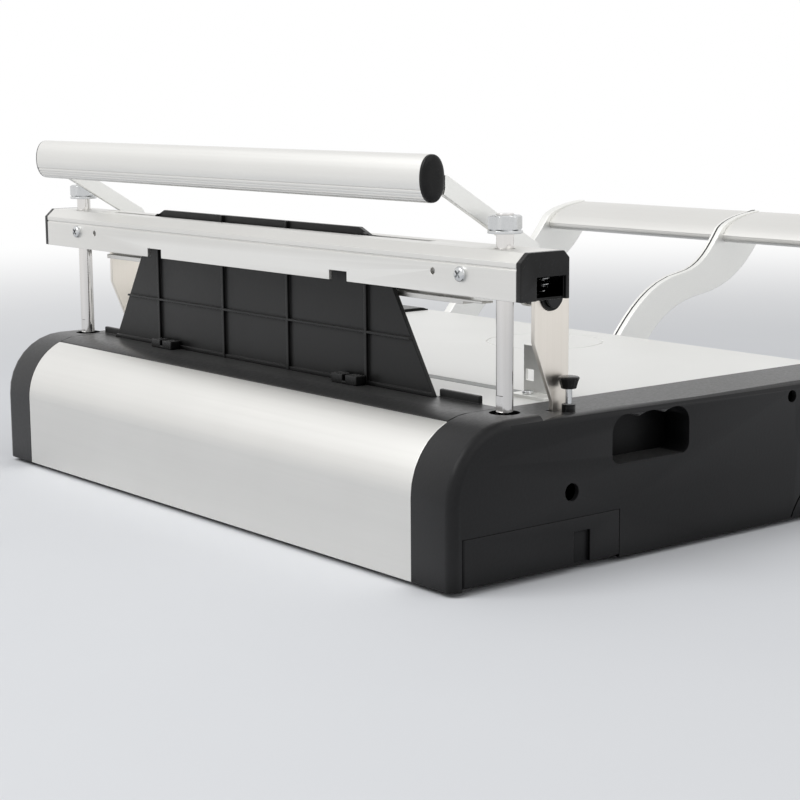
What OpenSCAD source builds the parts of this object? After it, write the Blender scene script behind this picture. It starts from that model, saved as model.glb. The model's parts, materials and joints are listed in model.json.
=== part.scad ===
// Manual binding press: a flat base with a table, a press beam on two columns at the rear,
// a tube handle that pushes the beam down, and a wide three-armed lever in front that
// lifts a bar in the table.

/* [Base] */
// Overall width across the two moulded ends
base_w = 520; // [500:1:560]
// Depth from the rear panel to the front of the moulded ends
base_d = 376; // [360:1:400]
// Height of the rear top edge above the lower edge
top_z = 91.5; // [88:0.5:100]
// Radius of the rounded rear top edge
curve_r = 43.5; // [38:0.5:48]
// Drop of the side rims below the rear top edge
rim_drop = 3; // [2:0.5:4]
// Width of each side rim
rim_w = 48; // [46:0.5:50]
// Width of each moulded end on the rear face
cap_w = 35; // [31:0.5:38]
// Depth of the higher rear part of each moulded end
cap_d = 68.5; // [67:0.5:70]
// Wall of the moulded ends
shell_wall = 3; // [2:0.25:3.5]
// Rounding between the side faces and the rear and top faces
edge_r = 6; // [3:0.5:8]
// Sheet thickness of the curved rear panel
panel_t = 2.5; // [1.5:0.25:3]
// Depth at which the curved rear panel ends on the top
panel_end = 27; // [22:0.5:32]
// Thickness of the bottom pan
pan_t = 1.5; // [1:0.25:2.5]
// Height of the rubber feet
foot_h = 3; // [2:0.5:6]
// Diameter of the rubber feet
foot_d = 22; // [16:1:30]

/* [Table] */
// Drop of the table surface below the side rims
table_drop = 2.5; // [1.5:0.25:4]
// Thickness of the table plate
table_t = 3; // [2:0.25:3.5]
// Diameter of the round line in the table
disc_d = 88; // [60:1:100]
// Height of the two fence brackets above the table
fence_h = 31; // [15:1:40]
// Length of each fence bracket
fence_l = 31; // [20:1:36]

/* [Columns] */
// Distance of the column axes from the side faces
post_in = 22.3; // [21.5:0.1:23]
// Distance of the column axes from the rear face of the beam
post_back = 16.5; // [16:0.25:17]
// Diameter of the columns
post_d = 10; // [8:0.5:11]
// Gap between the beam and the washers of the stop nuts
stop_gap = 8.5; // [5:0.5:15]
// Height of the stop nuts
nut_h = 8.5; // [6:0.5:10]

/* [Beam] */
// Overhang of the beam beyond each side face
beam_over = 5; // [3:0.5:20]
// Height of the underside of the beam above the rear top edge
beam_lift = 66.1; // [65:0.1:72]
// Height of the beam
beam_h = 26.9; // [26:0.1:28]
// Depth of the rear face of the beam
beam_v = 42; // [41:0.25:42.5]
// Depth of the beam from face to face
beam_d = 36.5; // [36:0.25:36.5]
// Wall of the beam
beam_wall = 2.5; // [2:0.25:3]
// Thickness of the beam end caps
beam_cap_t = 4; // [3:0.5:8]
// Drop of the press foot below the beam
foot_drop = 9; // [6:0.25:9]
// Distance of the press foot's ends from the side faces
foot_in = 54; // [50:1:70]

/* [Guard] */
// Distance of the guard plate's lower corners from the side faces
guard_in = 74.5; // [72:0.5:90]
// Inward slant of the guard plate's side edges
guard_slant = 56.5; // [40:0.5:70]
// Height of the guard plate above the beam
guard_over = 4.5; // [2:0.5:8]
// Distance of the guard plate's rear face from the front of the top strip
guard_back = 6.5; // [6:0.25:7]
// Thickness of the guard plate
guard_t = 3; // [2:0.25:3.25]
// Sideways offset of the guard plate
guard_x = 15; // [10:1:18]

/* [Tube handle] */
// Distance of the handle tube's ends from the side faces
tube_in = 40; // [30:0.5:41]
// Height of the oval handle tube
tube_h = 27; // [24:0.5:30]
// Depth of the oval handle tube
tube_d = 17; // [15:0.5:19]
// Height of the handle tube's axis above the beam
tube_rise = 39.5; // [38:0.25:42]
// Distance of the handle tube's axis behind the beam
tube_behind = 22.2; // [21:0.2:24]
// Width of the upper stretch of the handle arms
arm_w = 10.7; // [8:0.1:11]
// Thickness of the handle arms
arm_t = 4; // [3:0.25:5]
// Distance of the handle arms' inner faces from the side faces
arm_side = 42; // [41:0.5:46]
// Width of the lower stretch of the handle arms
leg_w = 14; // [12:0.25:14.5]

/* [Front lever] */
// Reach of the lever from its shaft to the front of the lever bar
lever_reach = 239; // [239:1:250]
// Distance of the lever shaft from the front of the base
shaft_back = 69; // [68:0.5:71]
// Depth of the lever shaft below the table surface
shaft_drop = 25; // [25:0.25:26]
// Diameter of the lever shaft
shaft_d = 16; // [12:0.5:18]
// Distance of the outer lever arms from the side faces
lever_in = 57; // [57:0.5:64]
// Thickness of the lever arms
lever_t = 8; // [7:0.5:8.5]
// Thickness of the lever bar
bar_t = 4; // [2.5:0.25:5]

/* [Lifting linkage] */
// Diameter of the rocker shaft
rocker_d = 10; // [8:0.5:12]
// Distance of the rocker shaft behind the lever shaft
rocker_back = 85; // [84:0.5:87]
// Depth of the rocker shaft below the lever shaft
rocker_drop = 27; // [27:0.25:28]
// Depth of the middle of the lifting bar
lift_v = 137; // [130:0.5:145]
// Thickness of the lifting bar
lift_w = 8; // [6:0.5:10]
// Distance of the lifting bar's ends from the side faces
lift_in = 91.5; // [91:0.5:100]

/* [Straps] */
// Distance of the straps' inner faces from the side faces
strap_side = 24; // [23.5:0.25:26]
// Thickness of the straps
strap_t = 3; // [2:0.25:3.5]
// Width of the straps at the eye
strap_w = 27; // [26:0.5:30]
// Distance of the strap eye, the handle's fulcrum, from the straps' rear edge
eye_back = 12.5; // [12.5:0.25:14]
// Drop of the strap eye below the underside of the beam
eye_drop = 2.6; // [2:0.1:4]
// Diameter of the strap eye
eye_d = 16; // [13:0.5:17]

/* [Small parts] */
// Travel of the lock pin
lock_travel = 12; // [6:0.5:14]
// Diameter of the lock pin
lock_d = 4; // [3:0.25:5]
// Distance of the lock pin from the side face
lock_in = 13.7; // [12:0.1:13.7]
// Depth of the lock pin
lock_v = 100.2; // [90:0.2:112]
// Length of the side hatch
hatch_l = 119; // [100:1:124]
// Height of the side hatch's upper edge
hatch_h = 29; // [24:0.5:32]

/* [Hidden] */
// Fits
run_gap = 0.05;
seat_gap = 0.02;
part_gap = 0.3;
slot_gap = 1;
cut = 1;

// Frame
half_w = base_w / 2;
shaft_v = base_d - shaft_back;
total_d = shaft_v + lever_reach;
rear_y = total_d / 2;

// Base
rim_z = top_z - rim_drop;
table_z = rim_z - table_drop;
panel_x = half_w - cap_w - part_gap;
rim_x = half_w - rim_w;
front_r = 10;
table_low = table_z - table_t;
table_gap = 1.5;
table_rear = cap_d + table_gap;
front_t = 3;
table_front = base_d - part_gap;
ledge_front = base_d - front_t - part_gap;
table_x = rim_x - part_gap;
ledge_w = 4;
ledge_t = 3;
rim_wall = 2.5;
strip_t = 3.5;
lip_h = 5;
lip_t = 3;
lip_end = 17;

// Straps and side frames across the width
strap_in = half_w - strap_side;
strap_out = strap_in + strap_t;
frame_t = 4;
frame_out = strap_in;
frame_x = frame_out - frame_t;
frame_flange = 9;
frame_h = table_low - ledge_t;

// Hand-hold in the side faces
hold_v = 122.5;
hold_l = 65;
hold_drop = 32.5;
hold_z = rim_z - hold_drop;
hold_h = 29;
hold_corner = 6;
hold_deep = 19;
hold_wall = 1.5;
scallop_r = 27;
scallop_n = 3;

// Beam
beam_z = top_z + beam_lift;
beam_top = beam_z + beam_h;
beam_front = beam_v + beam_d;
beam_half = half_w + beam_over;
bevel_v = 6.2;
bevel_h = 5.5;
back_bevel = 4;
notch_in = 153;
notch_x = half_w - notch_in;
notch_w = 18;
notch_h = 6;
line_up = 18;
line_z = beam_z + line_up;
line_cut = 0.7;
screw_in = 41;
screw_x = half_w - screw_in;
screw_up = 12.3;
screw_z = beam_z + screw_up;
hole_in = 66;
hole_x = half_w - hole_in;
small_hole_d = 4;
head_d = 9;
head_h = 2.6;
cross_w = 1.2;
cross_l = 5.4;
shank_d = 4;
guide_w = 20;
mouth_v = 12;
mouth_h = 13;
mouth_wall = 2.7;
foot_l = base_w - 2 * foot_in;
foot_t = 3;
foot_w = 8.5;
foot_v = beam_front - beam_wall - foot_w;
foot_tab = 17;

// Columns
post_x = half_w - post_in;
post_v = beam_v + post_back;
post_foot = 6;
block_w = 19;
block_d = 24;
block_h = 22;
stop_z = beam_top + stop_gap;
washer_t = 1.7;
washer_d = 20;
nut_af = 17;
post_rise = 1;
rim_hole_gap = 4;
rim_hole_d = post_d + 2 * rim_hole_gap;
flat_rise = 1;
flat_z = top_z + flat_rise;
flat_h = 9;
flat_cut = 1;

// Spring behind the mouth of each beam cap
coil_r = 4;
coil_wire = 1.2;
coil_curls = 6;
coil_rings = 8;
coil_sides = 6;
coil_in = 8;
coil_x = beam_half - coil_in;
liner_t = 1;
coil_v = beam_front - beam_wall - seat_gap - liner_t - coil_r - coil_wire / 2 - part_gap;
seat_t = 2;
seat_side = 3;
seat_w = 2 * (coil_r + seat_side);
coil_low = beam_z + seat_t + coil_wire / 2 + part_gap / 3;
coil_pitch = (beam_top - beam_wall - coil_wire / 2 - part_gap - coil_low) / coil_curls;

// Guard
guard_w = base_w - 2 * guard_in;
guard_top_w = guard_w - 2 * guard_slant;
guard_z = top_z;
guard_h = beam_top + guard_over - top_z;
guard_v = cap_d - guard_back;
guard_corner = 15;
guard_shoulder = 6.5;
rib_pitch = 76;
rib_w = 2.4;
rib_h = 2;
rail_h = 2.5;
rail_d = 1.4;
line_w = 1.5;
clip_in = 152;
clip_x = half_w - clip_in;
clip_shift = 6;
clip_w = 26;
clip_d = 8;
clip_h = 6;
clip_notch = 3;

// Straps
strap_gap = 1.5;
strap_rear = beam_front + strap_gap;
strap_front = strap_rear + strap_w;
strap_shank = 12.6;
strap_foot_v = strap_front - strap_shank;
strap_deep = 52.5;
strap_foot_z = rim_z - strap_deep;
eye_v = strap_rear + eye_back;
eye_z = beam_z - eye_drop;
strap_neck = 26;
strap_waist_z = eye_z - strap_neck;
strap_heel = 5;
strap_heel_z = rim_z + strap_heel;
bolt_ups = [8.6, 30];
bolt_zs = [for (up = bolt_ups) strap_foot_z + up];
bolt_v = (strap_foot_v + strap_front) / 2;
bolt_d = 6;
bolt_head_d = 10;
bolt_head_h = 4;
bush_over = 1.5;
pivot_d = 8;
collar_d = 12;
collar_t = 2;

// Tube handle
tube_l = base_w - 2 * tube_in;
tube_v = beam_v - tube_behind;
tube_z = beam_top + tube_rise;
arm_in = half_w - arm_side;
tube_wall = 2.5;
cap_t = 3;
knee_front = 0.5;
knee_v = eye_v + knee_front;
knee_rise = 26.4;
knee_z = eye_z + knee_rise;

// Front lever: its outline as offsets from the shaft
shaft_z = table_z - shaft_drop;
lever_x = half_w - lever_in;
lever_hub_r = 15;
lever_hub_side = 3;
lever_hub_t = lever_t + 2 * lever_hub_side;
curve_n = 8;
neck_top = [[0, 14], [30, 14], [62, -2], [78, 21]];
back_low = [[78, 21], [93, 39], [113, 63], [150, 67]];
back_high = [[150, 67], [173, 70], [183, 85], [194, 99.6]];
crown = [[194, 99.6], [202, 107], [220, 110], [lever_reach, 112]];
front_high = [[lever_reach - 2, 85], [223, 67], [203, 52], [172, 48.3]];
front_low = [[172, 48.3], [145, 45], [125, 35], [110, 15.6]];
neck_low = [[110, 15.6], [98, -10], [62, -20], [0, -14]];
edge_groove = 1.6;
edge_groove_deep = 1.4;
bar_curve = [[195.5, 94], [202, 106], [220, 109], [lever_reach - 1, 111]];
bar_lip_r = 3.5;
bar_lip = [199, 92];
bar_lip_angles = [20, -200];
bar_front_h = 9;
front_slot_side = 1;
front_slot_w = lever_t + 2 * front_slot_side;
front_slot_z = 4;
bush_wall = 2.5;
bush_flange = 2;

// Lifting linkage
rocker_v = shaft_v - rocker_back;
rocker_z = shaft_z - rocker_drop;
lift_l = base_w - 2 * lift_in;
cam_in = 110;
cam_x = half_w - cam_in;
cam_t = 4;
cam_hub_r = 14;
cam_nose = [30, -13];
cam_nose_r = 6;
rocker_tip = 8;
rocker_reach = rocker_back + cam_nose[0] + rocker_tip;
rocker_half_front = 6.5;
rocker_half_rear = 8;
rocker_hub_d = 22;
rocker_hub_t = 12;
lift_h = 30;
lift_low = table_z - lift_h;
leg_t = 4;
leg_side = 1;
leg_gap = cam_t + 2 * leg_side;
leg_under = 6;
leg_foot = rocker_z - leg_under;
lift_pin_d = 6;
lift_play = 1.5;

// Lock pin and knob
lock_x = half_w - lock_in;
knob_rise = 13.5;
lock_boss_d = 8;
lock_boss_h = 4.5;
knob_low = rim_z + knob_rise;
knob_h = 7.5;
knob_d1 = 9;
knob_d2 = 12.5;
ring_t = 1;
ring_over = 2.5;
ring_z = rim_z - shell_wall - lock_travel - ring_t - part_gap;
lock_tail = 3;
lock_foot = ring_z - lock_tail;

// Side hatch
hatch_v = 10;
hatch_t = 4;
hatch_pin_d = 2;
hatch_pin_x = half_w - hatch_t / 2;
hatch_low = pan_t + part_gap;
hatch_boss = 5;
grip_end = 37;
grip_v = hatch_v + hatch_l - grip_end;
grip_w = 13;
grip_h = 19;
grip_deep = 2;

// Other marks on the side faces
side_hole_d = 10.8;
side_hole_v = 90.3;
side_hole_z = 44.6;
stud_hole_d = 8;
stud_hole_back = 94;
stud_hole_v = base_d - stud_hole_back;
stud_hole_drop = 9;
stud_hole_z = rim_z - stud_hole_drop;
hub_d = 42;
hub_rim = 3;
arch_r = 54.5;
arch_back = 43;
arch_v = base_d - arch_back;
arch_z = -22;
line_deep = 0.8;
line_broad = 1.2;

// Fasteners and fence brackets
fence_t = 2;
fence_back = 3;
fence_v = lift_v - fence_back;
fence_flange = 12;
fence_gap = 2.5;
fence_x = lift_l / 2 + fence_gap;
fence_window = 7;
fence_window_z = 9;
fence_window_x = 2;
fence_head_d = 7;
fence_head_h = 2;
pan_screw_d = 8;
pan_screw_h = 1.6;

$fn = 64;

// Places a shape given as x, depth from the rear face and height above the lower edge
module depth_frame() {
  translate([0, rear_y, foot_h]) mirror([0, 1, 0]) children();
}

// Extrudes a depth and height outline from x0 to x1
module across(x0, x1) {
  translate([x0, 0, 0]) rotate([90, 0, 90]) linear_extrude(x1 - x0) children();
}

// Extrudes a width and height outline from depth v0 to v1
module through(v0, v1) {
  translate([0, v1, 0]) rotate([90, 0, 0]) linear_extrude(v1 - v0) children();
}

module rod_x(x0, x1, d, v, z) {
  across(x0, x1) translate([v, z]) circle(d = d);
}

module rod_v(v0, v1, d, x, z) {
  through(v0, v1) translate([x, z]) circle(d = d);
}

module rod_z(z0, z1, d, x, v) {
  translate([x, v, z0]) cylinder(d = d, h = z1 - z0);
}

module block(x0, x1, v0, v1, z0, z1) {
  translate([x0, v0, z0]) cube([x1 - x0, v1 - v0, z1 - z0]);
}

module both_ends() {
  children();
  mirror([1, 0, 0]) children();
}

// Left is the side at minus x
module at_left() {
  mirror([1, 0, 0]) children();
}

// Points along a cubic curve with four control points
function curve(p, n = curve_n) = [for (i = [0 : n]) let (t = i / n, s = 1 - t)
  s * s * s * p[0] + 3 * s * s * t * p[1] + 3 * s * t * t * p[2] + t * t * t * p[3]];

// Points along an arc
function arc(c, r, a0, a1, n = curve_n) = [for (i = [0 : n]) let (a = a0 + (a1 - a0) * i / n)
  c + r * [cos(a), sin(a)]];

// Outline round two circles of radius r
function capsule(a, b, r) = let (k = atan2(b[1] - a[1], b[0] - a[0]))
  concat(arc(a, r, k + 90, k + 270, 16), arc(b, r, k - 90, k + 90, 16));

// An outline drawn in by t along its normals
function inset(p, t) = let (n = len(p)) [for (i = [0 : n - 1])
  let (d = p[(i + 1) % n] - p[(i + n - 1) % n]) p[i] + t * [d[1], -d[0]] / norm(d)];

function shifted(p, by) = [for (q = p) q + by];

// A curve without its first point
function after(p) = [for (i = [1 : len(p) - 1]) p[i]];

// Outline of the base seen from the side, drawn in by t
module base_outline(t, low) {
  translate([curve_r, top_z - curve_r]) circle(r = curve_r - t);
  translate([t, low]) square([base_d - 2 * t, min(top_z - curve_r, rim_z - front_r) - low]);
  translate([t, low]) square([curve_r, top_z - curve_r - low]);
  translate([curve_r, low]) square([cap_d - curve_r - t, top_z - t - low]);
  translate([curve_r, low]) square([base_d - front_r - curve_r, rim_z - t - low]);
  translate([base_d - 2 * front_r, low]) square([2 * front_r - t, rim_z - front_r - low]);
  translate([base_d - front_r, rim_z - front_r]) circle(r = front_r - t);
}

// Outline of the hand-hold with shallow finger scallops along its top, grown by g
function hold_points(g) = let (pitch = hold_l / scallop_n, high = hold_z + hold_h,
    w = asin(pitch / 2 / (scallop_r + g)), last = scallop_n - 1)
  concat(arc([hold_v + hold_corner, hold_z + hold_corner], hold_corner + g, 180, 270),
    arc([hold_v + hold_l - hold_corner, hold_z + hold_corner], hold_corner + g, 270, 360),
    arc([hold_v + hold_l - pitch / 2, high - pitch / 2], pitch / 2 + g, 0, 90),
    [for (i = [last : -1 : 0])
      each after(arc([hold_v + (i + 0.5) * pitch, high - scallop_r], scallop_r + g,
        i == last ? 90 : 90 - w, i == 0 ? 90 : 90 + w))],
    after(arc([hold_v + pitch / 2, high - pitch / 2], pitch / 2 + g, 90, 180)));

// The rounded block that a moulded end is cut from, at plus x
module end_block() {
  intersection() {
    hull()
      for (a = [0 : 30 : 90])
        across(rim_x, half_w - edge_r * (1 - cos(a)))
          base_outline(edge_r * (1 - sin(a)), 0, $fn = 32);
    union() {
      block(0, half_w, 0, cap_d, 0, top_z);
      block(0, half_w, 0, base_d, 0, rim_z);
    }
  }
}

// One moulded end at plus x with its walls, table ledge, pocket, holes and slots
module end_shell() {
  difference() {
    union() {
      difference() {
        end_block();
        across(0, half_w - shell_wall) base_outline(shell_wall, -cut);
        block(0, half_w - cap_w, -cut, table_rear, -cut, top_z + cut);
      }
      block(rim_x, rim_x + rim_wall, table_rear, base_d - shell_wall, table_low - ledge_t,
        rim_z - shell_wall / 2);
      block(rim_x - ledge_w, rim_x + rim_wall, table_rear, ledge_front, table_low - ledge_t, table_low);
      across(half_w - shell_wall - hold_deep, half_w - shell_wall / 2) intersection() {
        polygon(hold_points(hold_wall));
        square([base_d, rim_z - shell_wall / 2]);
      }
    }
    across(half_w - shell_wall - hold_deep + hold_wall, half_w + cut) polygon(hold_points(0));
    rod_z(rim_z - 2 * shell_wall, top_z + cut, rim_hole_d, post_x, post_v);
    block(strap_in - slot_gap, strap_out + slot_gap, strap_foot_v - 2 * slot_gap,
      strap_front + 2 * slot_gap, rim_z - 2 * shell_wall, top_z + cut);
    rod_x(half_w - 2 * shell_wall, half_w + cut, side_hole_d, side_hole_v, side_hole_z);
    rod_x(half_w - 2 * shell_wall, half_w + cut, stud_hole_d, stud_hole_v, stud_hole_z);
    rod_x(half_w - 2 * shell_wall, half_w + cut, hub_d, shaft_v, shaft_z);
    across(half_w - line_deep, half_w + cut) intersection() {
      difference() {
        translate([arch_v, arch_z]) circle(r = arch_r);
        translate([arch_v, arch_z]) circle(r = arch_r - line_broad);
      }
      translate([0, cut]) square([base_d - front_r, rim_z]);
    }
  }
}

// The left end also has the opening for the side hatch, a boss for its hinge pin and one for the
// lock pin
module left_end_shell() color("#2b2b2c") depth_frame() at_left() difference() {
  union() {
    end_shell();
    block(half_w - shell_wall - hatch_boss / 2, half_w - shell_wall / 2, hatch_v - hatch_boss,
      hatch_v + hatch_boss, hatch_h + part_gap, hatch_h + part_gap + hatch_boss);
    rod_z(rim_z - shell_wall, rim_z + lock_boss_h, lock_boss_d, lock_x, lock_v);
  }
  rod_z(rim_z - 2 * shell_wall, rim_z + lock_boss_h + cut, lock_d + 2 * run_gap, lock_x, lock_v);
  block(half_w - 2 * shell_wall, half_w + cut, hatch_v - hatch_t / 2 - part_gap,
    hatch_v + hatch_l + part_gap, -cut, hatch_h + part_gap);
  rod_z(0, hatch_h + hatch_boss, hatch_pin_d + 2 * seat_gap, hatch_pin_x, hatch_v);
}

module right_end_shell() color("#2b2b2c") depth_frame() end_shell();

module rear_panel() color("#d9d9d6") depth_frame() across(-panel_x, panel_x) intersection() {
  difference() {
    base_outline(0, 0);
    base_outline(panel_t, -cut);
  }
  square([panel_end, top_z]);
}

module top_strip() color("#262627") depth_frame() {
  across(-panel_x, panel_x) intersection() {
    difference() {
      base_outline(0, 0);
      base_outline(strip_t, -cut);
    }
    translate([panel_end + part_gap, top_z - curve_r]) square([cap_d - panel_end - part_gap, curve_r]);
  }
  for (x = [[-panel_x + lip_end, guard_x - guard_w / 2 - slot_gap],
      [guard_x + guard_w / 2 + slot_gap, panel_x]])
    block(x[0], x[1], cap_d - lip_t, cap_d, top_z, top_z + lip_h);
}

module front_panel() color("#2b2b2c") depth_frame() difference() {
  block(-rim_x + part_gap, rim_x - part_gap, base_d - front_t, base_d, pan_t, table_low - part_gap);
  for (x = [-lever_x, 0, lever_x])
    block(x - front_slot_w / 2, x + front_slot_w / 2, base_d - front_t - cut, base_d + cut,
      front_slot_z, table_z + cut);
}

module bottom_pan() color("#8d9092") depth_frame() difference() {
  union() {
    block(-half_w + shell_wall + part_gap, half_w - shell_wall - part_gap, shell_wall + part_gap,
      base_d - part_gap, 0, pan_t);
    block(-half_w + part_gap, -half_w + 2 * hatch_t, hatch_v - hatch_t / 2, hatch_v + hatch_boss, 0,
      pan_t);
  }
  rod_z(-cut, pan_t + cut, hatch_pin_d + 2 * seat_gap, -hatch_pin_x, hatch_v);
  for (x = [-1, 1])
    block(x * (half_w - rim_w / 2) - rim_w / 2, x * (half_w - rim_w / 2) + rim_w / 2,
      base_d - shell_wall - part_gap, base_d + cut, -cut, pan_t + cut);
}

module rubber_feet() color("#1c1c1c") depth_frame()
  for (x = [-half_w + foot_d, half_w - foot_d])
    for (v = [foot_d + shell_wall, base_d - foot_d - shell_wall])
      rod_z(-foot_h, 0, foot_d, x, v);

module pan_screws() color("#b5b7b8") depth_frame()
  for (x = [-frame_x + frame_flange / 2, frame_x - frame_flange / 2])
    for (v = [cap_d + 2 * foot_d, rocker_v, shaft_v])
      rod_z(-pan_screw_h, 0, pan_screw_d, x, v);

// Steel side frame at plus x: an upright plate with a flange on the pan
module side_frame() {
  difference() {
    union() {
      block(frame_x, frame_out, post_v + block_d / 2, base_d - front_t - part_gap, pan_t, frame_h);
      block(frame_out - frame_flange, frame_out, post_v + block_d / 2, base_d - front_t - part_gap,
        pan_t, pan_t + frame_t);
    }
    rod_x(frame_x - cut, frame_out + cut, shaft_d + 2 * bush_wall + 2 * seat_gap, shaft_v, shaft_z);
    rod_x(frame_x - cut, frame_out + cut, rocker_d + 2 * bush_wall + 2 * seat_gap, rocker_v,
      rocker_z);
    for (z = bolt_zs)
      rod_x(frame_x - cut, frame_out + cut, bolt_d + 2 * seat_gap, bolt_v, z);
  }
}

module left_side_frame() color("#9a9c9e") depth_frame() at_left() side_frame();
module right_side_frame() color("#9a9c9e") depth_frame() side_frame();

module post_blocks() color("#6f7275") depth_frame() both_ends() difference() {
  block(post_x - block_w / 2, post_x + block_w / 2, post_v - block_d / 2, post_v + block_d / 2,
    pan_t, pan_t + block_h);
  rod_z(post_foot, pan_t + block_h + cut, post_d + 2 * seat_gap, post_x, post_v);
}

// Chromed guide column at plus x with a spanner flat near its foot
module post() {
  difference() {
    rod_z(post_foot, stop_z + washer_t + nut_h + post_rise, post_d, post_x, post_v);
    block(post_x - post_d, post_x + post_d, post_v - post_d, post_v - post_d / 2 + flat_cut,
      flat_z, flat_z + flat_h);
  }
}

module left_post() color("#c9cbcc") depth_frame() at_left() post();
module right_post() color("#c9cbcc") depth_frame() post();

module stop_washers() color("#c2c4c5") depth_frame() both_ends() difference() {
  rod_z(stop_z, stop_z + washer_t, washer_d, post_x, post_v);
  rod_z(stop_z - cut, stop_z + washer_t + cut, post_d + 2 * seat_gap, post_x, post_v);
}

module stop_nuts() color("#c2c4c5") depth_frame() both_ends() difference() {
  translate([post_x, post_v, stop_z + washer_t]) cylinder(d = nut_af / cos(30), h = nut_h, $fn = 6);
  rod_z(stop_z, stop_z + washer_t + nut_h + cut, post_d + 2 * seat_gap, post_x, post_v);
}

module table_plate() color("#dcdcd9") depth_frame() difference() {
  block(-table_x, table_x, table_rear, table_front, table_low, table_z);
  block(-lift_l / 2 - slot_gap, lift_l / 2 + slot_gap, lift_v - lift_w / 2 - slot_gap,
    lift_v + lift_w / 2 + slot_gap, table_low - cut, table_z + cut);
  translate([0, shaft_v + disc_d / 20, table_z - line_deep]) difference() {
    cylinder(d = disc_d, h = cut + line_deep);
    cylinder(d = disc_d - 2 * line_broad, h = cut + line_deep);
  }
}

// Upright sheet bracket at plus x standing on the table, with a square window and a foot
module fence() {
  difference() {
    union() {
      block(fence_x, fence_x + fence_l, fence_v, fence_v + fence_t, table_z, table_z + fence_h);
      block(fence_x, fence_x + fence_l, fence_v - fence_flange, fence_v + fence_t, table_z,
        table_z + fence_t);
    }
    block(fence_x + fence_window_x, fence_x + fence_window_x + fence_window, fence_v - cut,
      fence_v + fence_t + cut, table_z + fence_window_z, table_z + fence_window_z + fence_window);
  }
}

module left_fence() color("#d2d2cf") depth_frame() at_left() fence();
module right_fence() color("#d2d2cf") depth_frame() fence();

module fence_screws() color("#b5b7b8") depth_frame() both_ends()
  rod_z(table_z + fence_t, table_z + fence_t + fence_head_h, fence_head_d,
    fence_x + fence_l / 3, fence_v - fence_flange / 2);

module guard_outline() {
  polygon([[-guard_w / 2, 0], [guard_w / 2, 0], [guard_top_w / 2, guard_h - guard_shoulder],
    [guard_top_w / 2 - guard_corner, guard_h], [-guard_top_w / 2 + guard_corner, guard_h],
    [-guard_top_w / 2, guard_h - guard_shoulder]]);
}

// Upright moulded guard that the beam slides over, with ribs and a foot rail on its rear face
module guard_plate() color("#333334") depth_frame() translate([guard_x, 0, guard_z]) {
  through(guard_v, guard_v + guard_t) guard_outline();
  through(guard_v - rail_d, guard_v) intersection() {
    guard_outline();
    translate([-guard_w / 2, 0]) square([guard_w, rail_h]);
  }
  through(guard_v - rib_h, guard_v) intersection() {
    guard_outline();
    union() {
      for (i = [-1.6, -0.5, 0.5, 1.6])
        translate([i * rib_pitch - rib_w / 2, 0]) square([rib_w, guard_h]);
      translate([-guard_w / 2, guard_h / 3]) square([guard_w, line_w]);
    }
  }
}

// Clips behind the guard, each with a notch in its top
module guard_clips() color("#1f1f20") depth_frame()
  for (x = [-clip_x, clip_x])
    translate([x + guard_x / 2 + clip_shift, 0, 0]) difference() {
      block(-clip_w / 2, clip_w / 2, guard_v - rib_h - clip_d, guard_v - rib_h, top_z, top_z + clip_h);
      block(-clip_notch / 2, clip_notch / 2, guard_v - rib_h - clip_d - cut, guard_v - rib_h + cut,
        top_z + clip_h / 3, top_z + clip_h + cut);
    }

// Polished strap at plus x: bolted to the side frame, with the handle's fulcrum eye on top
module strap() {
  middle = (strap_rear + strap_front) / 2;
  across(strap_in, strap_out) difference() {
    polygon(concat([[strap_foot_v, strap_foot_z], [strap_front, strap_foot_z]],
      arc([middle, eye_z], strap_front - middle, 0, 180, 24),
      [[strap_rear, strap_waist_z], [strap_foot_v, strap_heel_z]]));
    translate([eye_v, eye_z]) circle(d = eye_d);
    for (z = bolt_zs)
      translate([bolt_v, z]) circle(d = bolt_d + 2 * seat_gap);
  }
}

module left_strap() color("#d8d6d2") depth_frame() at_left() strap();
module right_strap() color("#d8d6d2") depth_frame() strap();

module strap_bolts() color("#b5b7b8") depth_frame() both_ends()
  for (z = bolt_zs) {
    rod_x(frame_x, strap_out, bolt_d, bolt_v, z);
    rod_x(strap_out, strap_out + bolt_head_h, bolt_head_d, bolt_v, z);
  }

module strap_bushes() color("#1f1f20") depth_frame() both_ends() difference() {
  rod_x(strap_in - bush_over, strap_out + bush_over, eye_d - 2 * seat_gap, eye_v, eye_z);
  rod_x(strap_in - 2 * bush_over, strap_out + 2 * bush_over, pivot_d + 2 * run_gap, eye_v, eye_z);
}

// Flanged bush at plus x for a shaft running in the side frame
module frame_bush(d, v, z) {
  difference() {
    union() {
      rod_x(frame_x, frame_out, d + 2 * bush_wall, v, z);
      rod_x(frame_x - bush_flange, frame_x, d + 4 * bush_wall, v, z);
    }
    rod_x(frame_x - bush_flange - cut, frame_out + cut, d + 2 * run_gap, v, z);
  }
}

module lever_bushes() color("#b99a5b") depth_frame() both_ends()
  frame_bush(shaft_d, shaft_v, shaft_z);
module rocker_bushes() color("#b99a5b") depth_frame() both_ends()
  frame_bush(rocker_d, rocker_v, rocker_z);

// Round plugs that close the shaft holes in the side faces
module hub_covers() color("#1f1f20") depth_frame() both_ends() {
  rod_x(half_w - shell_wall, half_w - shell_wall / 2, hub_d - 2 * seat_gap, shaft_v, shaft_z);
  rod_x(half_w - shell_wall - hub_rim / 2, half_w - shell_wall, hub_d + 2 * hub_rim, shaft_v, shaft_z);
}

module hatch_pin() color("#b5b7b8") depth_frame() at_left()
  rod_z(0, hatch_h + hatch_boss, hatch_pin_d, hatch_pin_x, hatch_v);

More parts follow.
